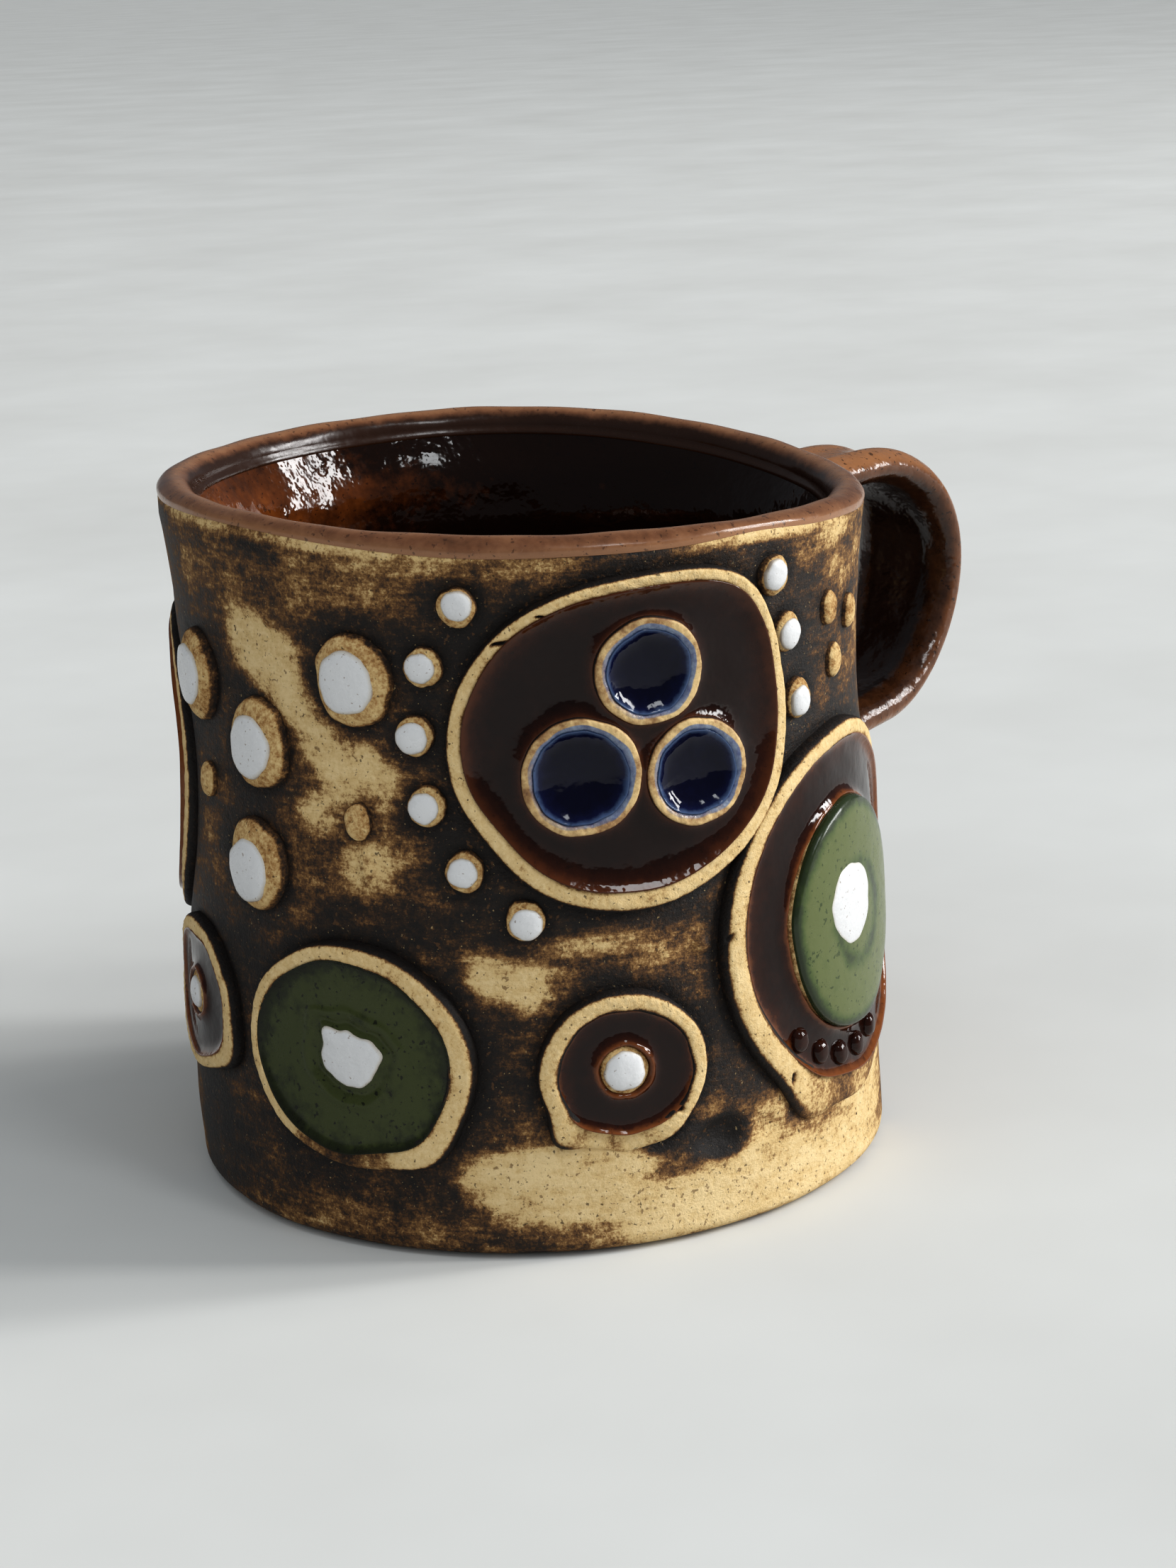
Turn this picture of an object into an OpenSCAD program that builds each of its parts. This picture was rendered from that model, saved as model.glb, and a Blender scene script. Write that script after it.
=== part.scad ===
// Hand-built stoneware mug with a strap handle and applied, glazed relief.
// The origin is the middle of the base, +Z is up and the handle points along +X.
// Azimuths are degrees round the wall from the handle, seen from above,
// counter-clockwise. Heights are millimetres above the table.

/* [Body] */
// Height of the rim above the table
mug_h = 86; // [76:1:110]
// Outer radius of the lower wall
body_r = 43.4; // [43:0.2:50]
// Thickness of the clay wall
wall_t = 4; // [3.2:0.2:5]
// How far the waist is drawn in
waist_in = 1; // [0:0.1:2]
// How far the lip flares out
lip_flare = 0.9; // [0:0.1:2]
// Thickness of the base slab
base_t = 5; // [4:0.5:8]

/* [Glaze] */
// Thickness of the brown glaze inside and on the rim
liner_t = 0.4; // [0.3:0.1:0.8]
// Height of the brown glaze band under the rounded rim
rim_band_h = 2; // [1:0.5:3]
// Depth of a glaze pool inside a clay ring
pool_t = 0.9; // [0.5:0.1:1.2]
// Thickness of a white cap on a pellet
cap_t = 0.4; // [0.2:0.1:0.6]

/* [Handle] */
// Height of the middle of the handle loop
loop_z = 59.5; // [55:0.5:62]
// Radius of the loop's round end, to the middle of the strap
loop_r = 17.2; // [14:0.2:18]
// Distance from the mug's axis to the centre of the round end
loop_x = 68.6; // [56:0.2:70]
// Downward slope of the lower arm towards the wall, in degrees
arm_slope = 9; // [0:1:12]
// Distance between the middles of the strap's two thick edges
edge_span = 8.8; // [8:0.2:16]
// Radius of each thick edge
edge_r = 2.7; // [2.2:0.1:3.2]
// Thickness of the strap between its edges
web_t = 3.8; // [3:0.2:4.4]
// How much thicker the strap is on its way to the wall
arm_swell = 0.15; // [0.05:0.05:0.5]

/* [Relief] */
// Height of the clay rings above the wall
ring_t = 1.7; // [1.3:0.1:2.2]
// Height of the clay disc in the kiwi medallion
disc_t = 1.3; // [1:0.1:1.6]
// Azimuth and height of the berry medallion
berry_at = [-120.5, 61.3]; // [-180:0.5:180]
// Half width and half height of the berry medallion
berry_size = [20.6, 19.7]; // [16:0.2:20.6]
// Azimuth and height of the kiwi medallion
kiwi_at = [-75.5, 34.2]; // [-180:0.5:180]
// Half width and half height of the kiwi medallion
kiwi_size = [23, 23.6]; // [20:0.2:24.4]
// Azimuth and height of the shield medallion
shield_at = [-167, 24.3]; // [-180:0.5:180]
// Half width and half height of the shield medallion
shield_size = [15, 14]; // [12:0.2:16]
// Azimuth and height of the eye medallion
eye_at = [-124.5, 22.9]; // [-180:0.5:180]
// Half width and half height of the eye medallion
eye_size = [10.1, 9.6]; // [8:0.1:10.2]
// Azimuth and height of the bead medallion
bead_at = [153, 25.6]; // [-180:0.5:180]
// Half width and half height of the bead medallion
bead_size = [10.6, 9.8]; // [9:0.2:11.4]
// Azimuth and height of the moon medallion
moon_at = [124, 51.5]; // [-180:0.5:180]
// Half width and half height of the moon medallion
moon_size = [20.6, 20.6]; // [16:0.2:21]
// Azimuth and height of the back medallion
back_at = [66, 31]; // [-180:0.5:180]
// Half width and half height of the back medallion
back_size = [13, 12.4]; // [10:0.2:14]
// Radius of a small white-capped pellet
pellet_r = 2.4; // [1.8:0.1:2.8]
// Radius of a large white-capped pellet
button_r = 4.8; // [4:0.1:5.2]
// Radius of a bare clay pellet
bare_r = 1.8; // [1.4:0.1:2.2]

/* [Hidden] */
// How far each straight run laps over the end of the loop
arm_lap = 0.6;
$fn = 96;
turn_fn = 240;
wall_rows = 11;
foot_round = 1.6;
waist_z = 66;
waist_span = 16;
flare_z = 72;
lip_r = wall_t / 2;
lip_z = mug_h - lip_r;
band_z = lip_z - rim_band_h;
lip_x = wall_r(lip_z) - lip_r;
inner_r = body_r - wall_t;
lip_step = 15;
oval_step = 9;
ring_band = 2.6;
kiwi_band = 3;
shield_band = 2.4;
eye_band = 1.8;
bead_band = 2.8;
kiwi_disc_at = [-77, 34.3];
kiwi_disc_size = [13.2, 14.4];
kiwi_rim_w = 0.9;
kiwi_heart_at = [-79.3, 36.1];
kiwi_heart_r = 5.1;
kiwi_glaze_t = 0.6;
seed_path_r = 17.5;
seed_step = 15;
seed_first = -131.5;
seed_count = 5;
seed_r = 1.5;
shield_heart_size = [3.9, 3.5];
heart_rise = 0.3;
eye_pellet_r = 3.2;
eye_cap_r = 2.4;
bead_pellet_r = 3;
bead_cap_r = 2;
pellet_cap_r = 1.75;
button_cap_r = 3.4;
// Each berry is [azimuth, height, outer radius, pool radius].
berries = [[-118, 69.8, 6.4, 5], [-129, 58.3, 6.9, 5.7], [-110.5, 57.3, 6.4, 5]];
// Small pellets stand in an arc left of the berries and in a row right of them.
arc_pellets = [[-146.5, 78.5], [-152.3, 71.4], [-154.2, 63.3], [-152.8, 55], [-147.3, 47.4], [-138.4, 41.6]];
row_pellets = [[-94, 78.3], [-90.4, 71], [-87.4, 62.5]];
buttons = [[-164, 69.6], [176, 60.3], [174.8, 45.6], [157.5, 66.6]];
bare_pellets = [[-77.4, 72], [-75.1, 65.2], [-68, 70.2], [-164.3, 52.8], [160.5, 54]];

// Outer radius of the wall at height z.
function wall_r(z) =
    body_r
    - waist_in * exp(-pow((z - waist_z) / waist_span, 2))
    + lip_flare * pow(max(0, (z - flare_z) / (mug_h - flare_z)), 2);

// Heights of the section's points, from the foot to the rounded rim.
function row_z(first) =
    concat([for (i = [0 : wall_rows]) first + (band_z - first) * i / wall_rows], [lip_z]);

// Points up the outside of the wall, moved outwards by t.
function outside(t) = [for (z = row_z(foot_round)) [wall_r(z) + t, z]];

// Points up the inside of the wall, moved inwards by t.
function inside(t) =
    concat([[inner_r - t, base_t + t]],
           [for (i = [1 : wall_rows + 1]) let (z = row_z(base_t)[i]) [wall_r(z) - wall_t - t, z]]);

// Points over the rounded rim, from outside to inside, moved out by t.
function over_rim(t) =
    [for (a = [lip_step : lip_step : 180 - lip_step])
        [lip_x + (lip_r + t) * cos(a), lip_z + (lip_r + t) * sin(a)]];

// Points round the outer corner of the foot, from the table up.
function foot() =
    [for (a = [-90 : lip_step : -lip_step])
        [body_r - foot_round + foot_round * cos(a), foot_round + foot_round * sin(a)]];

function reversed(list) = [for (i = [len(list) - 1 : -1 : 0]) list[i]];

// Points of an oval outline.
function oval(size) = [for (a = [0 : oval_step : 360 - oval_step]) [size[0] * cos(a), size[1] * sin(a)]];

// The oval that is left inside a band.
function inset(size, band) = [size[0] - band, size[1] - band];

// The mug's outside shape as one filled solid.
module core() {
    rotate_extrude($fn = turn_fn) polygon(concat([[0, 0]], foot(), outside(0), [[0, lip_z]]));
}

// A shell that lies on the wall, from depth t0 to depth t1 above it.
module shell(t0, t1) {
    rotate_extrude($fn = turn_fn) polygon(concat(outside(t1), reversed(outside(t0))));
}

// Moves its children out to a place on the wall, with +X pointing away from it.
module place(at, out = 0) {
    rotate([0, 0, at[0]])
        translate([out, 0, at[1]])
            children();
}

// A prism of oval section that runs outwards through the wall.
module stamp(at, size) {
    place(at, body_r / 2)
        rotate([90, 0, 90])
            linear_extrude(height = body_r)
                polygon(oval(size));
}

module round_stamp(at, r) {
    place(at, body_r / 2)
        rotate([0, 90, 0])
            cylinder(r = r, h = body_r);
}

// A clay ring laid on the wall.
module ring(at, size, band) {
    intersection() {
        shell(0, ring_t);
        difference() {
            stamp(at, size);
            stamp(at, inset(size, band));
        }
    }
}

// Glaze that lies inside a clay ring.
module pool(at, size, band) {
    intersection() {
        shell(0, pool_t);
        stamp(at, inset(size, band));
    }
}

// The ball that a pellet of radius r and height h is part of.
module ball(at, r, h, grow = 0) {
    ball_r = (r * r + h * h) / (2 * h);
    place(at, wall_r(at[1]) + h - ball_r)
        rotate([0, 90, 0])
            sphere(r = ball_r + grow);
}

function pellet_h(r) = 0.25 * r + 0.7;

// A pellet of clay pressed onto the wall.
module pellet(at, r) {
    difference() {
        ball(at, r, pellet_h(r));
        core();
    }
}

// White glaze on top of a pellet.
module cap(at, r, cap_r) {
    intersection() {
        difference() {
            ball(at, r, pellet_h(r), cap_t);
            ball(at, r, pellet_h(r));
        }
        place(at, wall_r(at[1]))
            rotate([0, 90, 0])
                cylinder(r = cap_r, h = button_r);
    }
}

module wall_slab() {
    color("peru")
        rotate_extrude()
            polygon(concat([[inner_r, 0]], foot(), outside(0), over_rim(0), reversed(inside(0))));
}

module base_slab() {
    color("burlywood") cylinder(r = inner_r, h = base_t);
}

// The strap's section has two round edges and a thinner web between them.
module strap_section(grow = 0) {
    for (side = [-1, 1])
        translate([0, side * edge_span / 2])
            circle(r = edge_r + grow, $fn = 48);
    translate([-web_t / 2 - grow, -edge_span / 2])
        square([web_t + 2 * grow, edge_span]);
}

// A straight run of strap towards the wall, a little thicker than the loop that it laps over.
module arm() {
    rotate([0, -90, 0])
        translate([0, 0, -arm_lap])
            linear_extrude(height = loop_x - body_r + wall_t + arm_lap)
                strap_section(arm_swell);
}

module handle_strap() {
    color("saddlebrown")
        difference() {
            translate([loop_x, 0, loop_z]) {
                rotate([90, 0, 0])
                    rotate([0, 0, arm_slope - 90])
                        rotate_extrude(angle = 180 - arm_slope)
                            translate([loop_r, 0])
                                strap_section();
                translate([0, 0, loop_r])
                    arm();
                rotate([0, -arm_slope, 0])
                    translate([0, 0, -loop_r])
                        arm();
            }
            core();
        }
}

module liner_glaze() {
    color("sienna")
        rotate_extrude()
            polygon(concat([[0, base_t], [0, base_t + liner_t]], inside(liner_t), reversed(inside(0))));
}

module rim_glaze() {
    color("maroon")
        rotate_extrude()
            polygon(concat(
                [[wall_r(band_z) + liner_t, band_z], [wall_r(lip_z) + liner_t, lip_z]],
                over_rim(liner_t),
                [[lip_x - lip_r - liner_t, lip_z], [lip_x - lip_r, lip_z]],
                reversed(over_rim(0)),
                [[wall_r(lip_z), lip_z], [wall_r(band_z), band_z]]));
}

module berry_ring() {
    color("tan") ring(berry_at, berry_size, ring_band);
}

module berry_field_glaze() {
    color("#3a1c10")
        difference() {
            pool(berry_at, berry_size, ring_band);
            for (berry = berries)
                round_stamp(berry, berry[2]);
        }
}

module small_ring(berry) {
    color("tan")
        intersection() {
            shell(0, ring_t);
            difference() {
                round_stamp(berry, berry[2]);
                round_stamp(berry, berry[3]);
            }
        }
}

module small_pool(berry) {
    color("midnightblue")
        intersection() {
            shell(0, pool_t);
            round_stamp(berry, berry[3]);
        }
}

// The kiwi ring stops where it meets the berry ring.
module kiwi_ring() {
    color("tan")
        difference() {
            ring(kiwi_at, kiwi_size, kiwi_band);
            stamp(berry_at, berry_size);
        }
}

module kiwi_band_glaze() {
    color("#3a1c10")
        difference() {
            pool(kiwi_at, kiwi_size, kiwi_band);
            stamp(kiwi_disc_at, kiwi_disc_size);
            for (at = seed_places())
                ball(at, seed_r, pellet_h(seed_r));
        }
}

module kiwi_disc() {
    color("peru")
        intersection() {
            shell(0, disc_t);
            stamp(kiwi_disc_at, kiwi_disc_size);
        }
}

module kiwi_green_glaze() {
    color("darkseagreen")
        intersection() {
            shell(disc_t, disc_t + kiwi_glaze_t);
            difference() {
                stamp(kiwi_disc_at, inset(kiwi_disc_size, kiwi_rim_w));
                round_stamp(kiwi_heart_at, kiwi_heart_r);
            }
        }
}

module kiwi_heart() {
    color("whitesmoke")
        intersection() {
            shell(disc_t, disc_t + kiwi_glaze_t + heart_rise);
            round_stamp(kiwi_heart_at, kiwi_heart_r);
        }
}

// Seeds follow an arc round the foot of the kiwi disc.
function seed_places() =
    [for (i = [0 : seed_count - 1])
        let (turn = seed_first + seed_step * i, across = seed_path_r * cos(turn))
        [kiwi_disc_at[0] + asin(across / body_r), kiwi_disc_at[1] + seed_path_r * sin(turn)]];

module kiwi_seeds() {
    color("saddlebrown")
        for (at = seed_places())
            pellet(at, seed_r);
}

module shield_ring() {
    color("tan") ring(shield_at, shield_size, shield_band);
}

module shield_pool() {
    color("darkolivegreen")
        difference() {
            pool(shield_at, shield_size, shield_band);
            stamp(shield_at, shield_heart_size);
        }
}

module shield_heart() {
    color("whitesmoke")
        intersection() {
            shell(0, pool_t + heart_rise);
            stamp(shield_at, shield_heart_size);
        }
}

// A brown glaze pool with a pellet standing in its middle.
module pellet_pool(at, size, band, r) {
    color("#3a1c10")
        difference() {
            pool(at, size, band);
            ball(at, r, pellet_h(r));
        }
}

module clay_pellets(places, r) {
    color("peru")
        for (at = places)
            pellet(at, r);
}

module white_caps(places, r, cap_r) {
    color("whitesmoke")
        for (at = places)
            cap(at, r, cap_r);
}

wall_slab();
base_slab();
handle_strap();
liner_glaze();
rim_glaze();
berry_ring();
berry_field_glaze();
small_ring(berries[0]);  // berry_top_ring
small_ring(berries[1]);  // berry_left_ring
small_ring(berries[2]);  // berry_right_ring
small_pool(berries[0]);  // berry_top_pool
small_pool(berries[1]);  // berry_left_pool
small_pool(berries[2]);  // berry_right_pool
kiwi_ring();
kiwi_band_glaze();
kiwi_disc();
kiwi_green_glaze();
kiwi_heart();
kiwi_seeds();
shield_ring();
shield_pool();
shield_heart();
color("tan") ring(eye_at, eye_size, eye_band);  // eye_ring
pellet_pool(eye_at, eye_size, eye_band, eye_pellet_r);  // eye_pool
clay_pellets([eye_at], eye_pellet_r);  // eye_pellet
white_caps([eye_at], eye_pellet_r, eye_cap_r);  // eye_cap
color("tan") ring(bead_at, bead_size, bead_band);  // bead_ring
pellet_pool(bead_at, bead_size, bead_band, bead_pellet_r);  // bead_pool
clay_pellets([bead_at], bead_pellet_r);  // bead_pellet
white_caps([bead_at], bead_pellet_r, bead_cap_r);  // bead_cap
color("tan") ring(moon_at, moon_size, ring_band);  // moon_ring
color("#3a1c10") pool(moon_at, moon_size, ring_band);  // moon_pool
color("tan") ring(back_at, back_size, bead_band);  // back_ring
pellet_pool(back_at, back_size, bead_band, eye_pellet_r);  // back_pool
clay_pellets([back_at], eye_pellet_r);  // back_pellet
white_caps([back_at], eye_pellet_r, bead_cap_r);  // back_cap
clay_pellets(arc_pellets, pellet_r);
white_caps(arc_pellets, pellet_r, pellet_cap_r);  // arc_caps
clay_pellets(row_pellets, pellet_r);
white_caps(row_pellets, pellet_r, pellet_cap_r);  // row_caps
clay_pellets(buttons, button_r);  // button_pellets
white_caps(buttons, button_r, button_cap_r);  // button_caps
clay_pellets(bare_pellets, bare_r);
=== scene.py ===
"""The looks of a hand-built stoneware mug with applied relief and poured glazes.

Lengths in the making of meshes are in millimetres, turned to metres when a mesh is finished.
A place on the wall is a turn (radians round the wall from the handle) and a height.
"""
import math

import bpy
import numpy as np
from mathutils import Matrix, Vector


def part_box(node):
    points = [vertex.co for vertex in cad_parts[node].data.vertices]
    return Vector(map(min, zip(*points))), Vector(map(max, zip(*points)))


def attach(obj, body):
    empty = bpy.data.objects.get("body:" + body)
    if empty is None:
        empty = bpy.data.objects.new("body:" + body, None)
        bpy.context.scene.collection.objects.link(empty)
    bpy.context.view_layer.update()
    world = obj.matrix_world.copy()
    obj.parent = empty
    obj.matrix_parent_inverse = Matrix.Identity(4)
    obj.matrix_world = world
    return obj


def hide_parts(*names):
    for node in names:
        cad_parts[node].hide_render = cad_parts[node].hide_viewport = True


MM = 0.001
SEED = 7
BODY = "root"

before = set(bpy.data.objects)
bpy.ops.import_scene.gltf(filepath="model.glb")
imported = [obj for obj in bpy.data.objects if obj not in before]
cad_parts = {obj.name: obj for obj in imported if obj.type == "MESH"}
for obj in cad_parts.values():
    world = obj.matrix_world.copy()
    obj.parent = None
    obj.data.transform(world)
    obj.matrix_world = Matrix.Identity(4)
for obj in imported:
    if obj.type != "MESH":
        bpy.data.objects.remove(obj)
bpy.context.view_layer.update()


# ---- places from the CAD model

def cad_points(node):
    """The vertices of a CAD node, in millimetres."""
    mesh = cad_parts[node].data
    points = np.zeros(len(mesh.vertices) * 3)
    mesh.vertices.foreach_get("co", points)
    return points.reshape(-1, 3) / MM


def smooth(low, high, value):
    """A soft step from 0 at low to 1 at high."""
    x = np.clip((value - low) / (high - low), 0, 1)
    return x * x * (3 - 2 * x)


BASE_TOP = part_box("base_slab")[1].z / MM
INNER_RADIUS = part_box("base_slab")[1].x / MM
RIM_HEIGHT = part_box("wall_slab")[1].z / MM
OUTER_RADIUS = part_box("wall_slab")[1].x / MM


def wall_profile():
    """Heights and outer radii of the CAD wall, below its rounded lip."""
    points = cad_points("wall_slab")
    radius = np.hypot(points[:, 0], points[:, 1])
    outside = radius > INNER_RADIUS + 2
    below_lip = points[:, 2] < RIM_HEIGHT - 1.9
    heights = np.round(points[outside & below_lip, 2], 2)
    radii = radius[outside & below_lip]
    rows = np.unique(heights)
    return rows, np.array([radii[heights == row].max() for row in rows])


PROFILE_Z, PROFILE_R = wall_profile()
WALL = PROFILE_R[len(PROFILE_R) // 3] - INNER_RADIUS
# Radius of the rounded lip, and of the rounded edge of the foot
LIP = WALL / 2
FOOT = 1.6
# Thickness of the glaze on the lip and inside
GLAZE = 0.4
# How far the relief pieces reach into the wall
SUNK = 0.5


class Patch:
    """Where one piece of relief lies: its middle and its half sizes, read from its CAD node."""

    def __init__(self, points):
        middle = np.arctan2(points[:, 1].mean(), points[:, 0].mean())
        swing = np.angle(np.exp(1j * (np.arctan2(points[:, 1], points[:, 0]) - middle)))
        self.turn = middle + (swing.max() + swing.min()) / 2
        self.z = (points[:, 2].max() + points[:, 2].min()) / 2
        self.radius = np.interp(self.z, PROFILE_Z, PROFILE_R)
        self.half_w = (swing.max() - swing.min()) / 2 * self.radius
        self.half_h = (points[:, 2].max() - points[:, 2].min()) / 2

    def polar(self, turn, z):
        """Distance and direction on the wall from the patch's middle."""
        along = np.angle(np.exp(1j * (turn - self.turn))) * self.radius
        up = z - self.z
        return np.hypot(along, up), np.arctan2(up, along)

    def place(self, reach, angle):
        """The turn and height that lie at a distance and direction from the patch's middle."""
        return self.turn + reach * np.cos(angle) / self.radius, self.z + reach * np.sin(angle)


def patch(node):
    return Patch(cad_points(node))


def islands(node):
    """One patch for each separate solid of a CAD node."""
    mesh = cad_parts[node].data
    points = cad_points(node)
    keys, same = np.unique(np.round(points, 3), axis=0, return_inverse=True)
    group = np.arange(len(keys))
    same = same.reshape(-1)
    edges = np.zeros(len(mesh.edges) * 2, int)
    mesh.edges.foreach_get("vertices", edges)
    pairs = same[edges].reshape(-1, 2)
    while True:
        low = np.minimum(group[pairs[:, 0]], group[pairs[:, 1]])
        before = group.copy()
        np.minimum.at(group, pairs[:, 0], low)
        np.minimum.at(group, pairs[:, 1], low)
        group = group[group]
        if (group == before).all():
            break
    found = [Patch(keys[group == name]) for name in np.unique(group)]
    return sorted(found, key=lambda one: (round(one.turn, 3), one.z))


# ---- the hand-made wall surface

# The right-hand side of the camera's view lies this far clockwise of the handle, seen from above
HANDLE_TO_CAMERA = math.radians(48)


def rim_wave(turn):
    """How far the rim rises and falls, in mm."""
    return (2.2 * np.cos(turn - math.radians(108))
            + 0.55 * np.cos(2 * (turn - math.radians(42)))
            + 0.35 * np.cos(3 * (turn + math.radians(87))))


def lumps(turn, z):
    """Gentle unevenness left by hand building, between about -1 and 1."""
    x, y = np.cos(turn), np.sin(turn)
    return (0.40 * np.sin(5.1 * x + 0.071 * z + 1.3) * np.cos(4.3 * y - 0.052 * z)
            + 0.30 * np.sin(9.7 * y + 0.13 * z + 0.4) * np.cos(8.2 * x - 0.09 * z + 2.0)
            + 0.18 * np.sin(17 * x + 0.31 * z) * np.sin(15 * y - 0.27 * z + 0.8))


def wall_radius(turn, z):
    """Radius of the mug's clay surface: the CAD profile made uneven, with a fuller foot."""
    even = np.interp(z, PROFILE_Z, PROFILE_R)
    handle_side = np.cos(turn + HANDLE_TO_CAMERA)
    fuller_foot = 0.75 * (1 - smooth(8, 45, z))
    lean = -0.35 * handle_side * smooth(0, 10, z)
    waist = -0.45 * np.exp(-((z - 58) / 10) ** 2) * (0.5 + 0.5 * handle_side)
    return even + fuller_foot + lean + waist + 0.2 * lumps(turn, z)


def around_axis(radius, turn, z):
    """Points by their distance from the mug's axis, their turn and their height."""
    return np.stack([radius * np.cos(turn), radius * np.sin(turn), z + 0 * turn], -1)


def at(turn, z, height):
    """Points at a height above the wall surface, in mm."""
    return around_axis(wall_radius(turn, z) + height, turn, z)


def ripple(angle, seed, size):
    """A closed, seeded waviness round an outline."""
    draw = np.random.default_rng(SEED + seed)
    total = 0 * angle
    for k, amount in ((2, 0.5), (3, 0.8), (4, 0.6), (5, 0.5), (7, 0.4), (9, 0.3), (13, 0.22)):
        total = total + amount * draw.uniform(0.4, 1) * np.cos(k * angle + draw.uniform(0, 6.28))
    return size * total


# ---- mesh making

def grid_faces(rows, columns, close_rows, close_columns, first=0):
    """Quads of a grid of points stored row by row."""
    r = np.arange(rows if close_rows else rows - 1)
    c = np.arange(columns if close_columns else columns - 1)
    r, c = np.meshgrid(r, c, indexing="ij")
    r2, c2 = (r + 1) % rows, (c + 1) % columns
    quads = np.stack([r * columns + c, r * columns + c2, r2 * columns + c2, r2 * columns + c], -1)
    return quads.reshape(-1, 4) + first


class Shape:
    """Points, faces and named point values that make one mesh."""

    def __init__(self):
        self.points = []
        self.faces = []
        self.values = {}
        self.count = 0

    def add(self, points, faces, **values):
        points = points.reshape(-1, 3)
        self.points.append(points)
        self.faces.extend((np.asarray(faces) + self.count).tolist())
        for name, value in values.items():
            self.values.setdefault(name, []).append(np.broadcast_to(value, len(points)).reshape(-1))
        self.count += len(points)

    def close_ends(self, columns):
        """Closes the first and the last row of points with a flat face each."""
        self.faces += [list(range(columns))[::-1], list(range(self.count - columns, self.count))]

    def make(self, name, material, nodes):
        mesh = bpy.data.meshes.new(name)
        points = np.concatenate(self.points) * MM
        mesh.from_pydata(points.tolist(), [], self.faces)
        for value_name, parts in self.values.items():
            attribute = mesh.attributes.new(value_name, "FLOAT", "POINT")
            attribute.data.foreach_set("value", np.concatenate(parts).astype(np.float32))
        mesh.shade_smooth()
        mesh.materials.append(material)
        piece = bpy.data.objects.new(name, mesh)
        bpy.context.scene.collection.objects.link(piece)
        fix_normals(piece)
        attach(piece, BODY)
        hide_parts(*nodes)
        return piece


def fix_normals(piece):
    """Turns a closed mesh's faces outwards if its volume comes out negative."""
    mesh = piece.data
    mesh.calc_loop_triangles()
    points = np.zeros(len(mesh.vertices) * 3)
    mesh.vertices.foreach_get("co", points)
    corners = np.zeros(len(mesh.loop_triangles) * 3, int)
    mesh.loop_triangles.foreach_get("vertices", corners)
    a, b, c = points.reshape(-1, 3)[corners.reshape(-1, 3)].transpose(1, 0, 2)
    if np.einsum("ij,ij->i", a, np.cross(b, c)).sum() < 0:
        mesh.flip_normals()


def disc_on_wall(shape, spot, outline, height, rings, spokes, **values):
    """A closed round piece on the wall.

    The outline gives its edge by the angle. The height and the values go by the share of the way out
    to the edge, and by the angle.
    """
    share = np.linspace(0, 1, rings)[1:] ** 0.75
    angle = np.linspace(0, 2 * np.pi, spokes, endpoint=False)
    share, angle = np.meshgrid(share, angle, indexing="ij")
    turn, z = spot.place(share * outline(angle), angle)
    centre = np.zeros(1)
    top = at(turn, z, height(share, angle)).reshape(-1, 3)
    skirt = at(turn[-1], z[-1], -SUNK + 0 * z[-1])
    middle = at(centre + spot.turn, centre + spot.z, height(centre, centre))
    under = at(centre + spot.turn, centre + spot.z, centre - SUNK)
    filled = {}
    for name, value in values.items():
        grid = np.broadcast_to(value(share, angle), share.shape)
        rim = grid[-1]
        filled[name] = np.concatenate([value(centre, centre), grid.ravel(), rim, rim[:1]])
    first = shape.count
    last = first + 1 + rings * spokes
    points = np.concatenate([middle, top, skirt, under])
    shape.add(points, grid_faces(rings, spokes, False, True, 1), **filled)
    for i in range(spokes):
        j = (i + 1) % spokes
        shape.faces.append([first, first + 1 + j, first + 1 + i])
        shape.faces.append([last, last - spokes + i, last - spokes + j])


# ---- materials

def srgb(red, green, blue):
    """A colour in 0-255 steps as linear light."""
    steps = np.array([red, green, blue]) / 255
    linear = np.where(steps < 0.04045, steps / 12.92, ((steps + 0.055) / 1.055) ** 2.4)
    return (*linear.tolist(), 1.0)


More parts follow.
